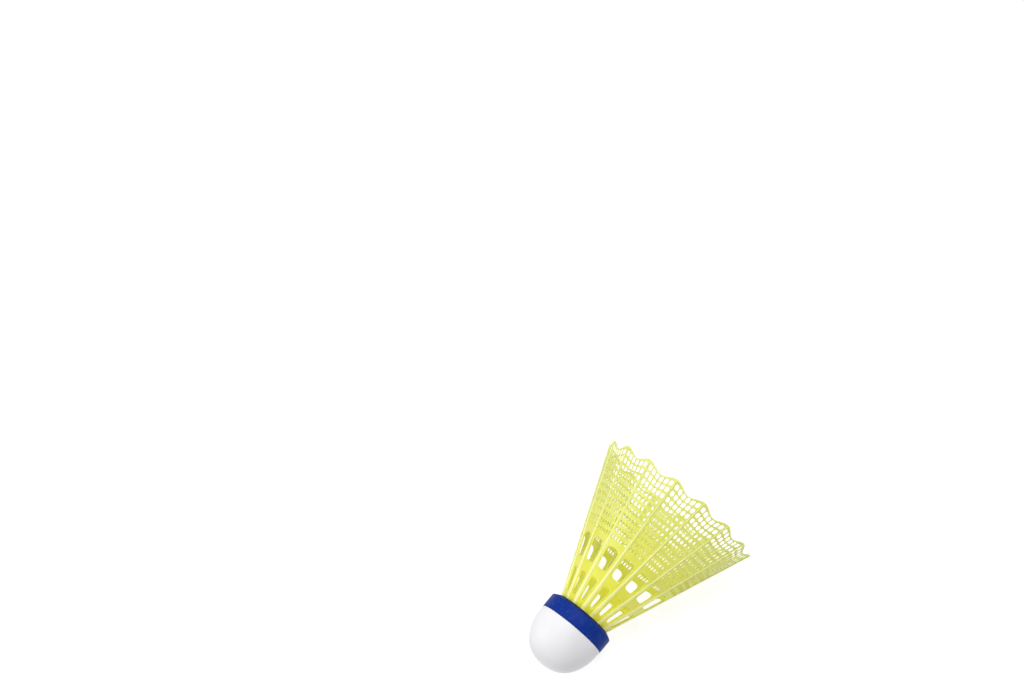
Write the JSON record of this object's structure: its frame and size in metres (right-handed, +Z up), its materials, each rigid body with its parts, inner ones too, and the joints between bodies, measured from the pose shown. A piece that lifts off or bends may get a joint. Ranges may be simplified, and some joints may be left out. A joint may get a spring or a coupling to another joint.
{
  "type": "badminton shuttlecock",
  "caption": "Badminton shuttlecock: cork base under a white cover with a blue band, and a ribbed, perforated, moulded nylon skirt with a scalloped rim.",
  "frame": {"origin": "on the surface that the shuttlecock lies on, under the middle of its bounding box", "axes": "+X from the base towards the open rim, +Z up; the shuttlecock's own axis lies in the XZ plane and rises 16.3 degrees from +X, because it rests on its dome and on two tips of the rim; Y = 0 is its plane of symmetry"},
  "size_m": [0.0848, 0.065, 0.0624],
  "materials": {
    "cork": "agglomerated natural cork, matt, open grain",
    "cover_skin": "white coated leather skin, fine grain, satin",
    "band": "deep blue coated tape, satin",
    "nylon": "translucent yellow-green moulded nylon, satin gloss"
  },
  "bodies": {
    "root": {"base_cork_core": "cork", "base_cover": "cover_skin", "base_band": "band", "skirt_plug_and_collar": "nylon", "skirt_rib_01": "nylon", "skirt_panel_01": "nylon", "skirt_rib_02": "nylon", "skirt_panel_02": "nylon", "skirt_rib_03": "nylon", "skirt_panel_03": "nylon", "skirt_rib_04": "nylon", "skirt_panel_04": "nylon", "skirt_rib_05": "nylon", "skirt_panel_05": "nylon", "skirt_rib_06": "nylon", "skirt_panel_06": "nylon", "skirt_rib_07": "nylon", "skirt_panel_07": "nylon", "skirt_rib_08": "nylon", "skirt_panel_08": "nylon", "skirt_rib_09": "nylon", "skirt_panel_09": "nylon", "skirt_rib_10": "nylon", "skirt_panel_10": "nylon", "skirt_rib_11": "nylon", "skirt_panel_11": "nylon", "skirt_rib_12": "nylon", "skirt_panel_12": "nylon", "skirt_rib_13": "nylon", "skirt_panel_13": "nylon", "skirt_rib_14": "nylon", "skirt_panel_14": "nylon", "skirt_rib_15": "nylon", "skirt_panel_15": "nylon", "skirt_rib_16": "nylon", "skirt_panel_16": "nylon"}
  },
  "joints": []
}
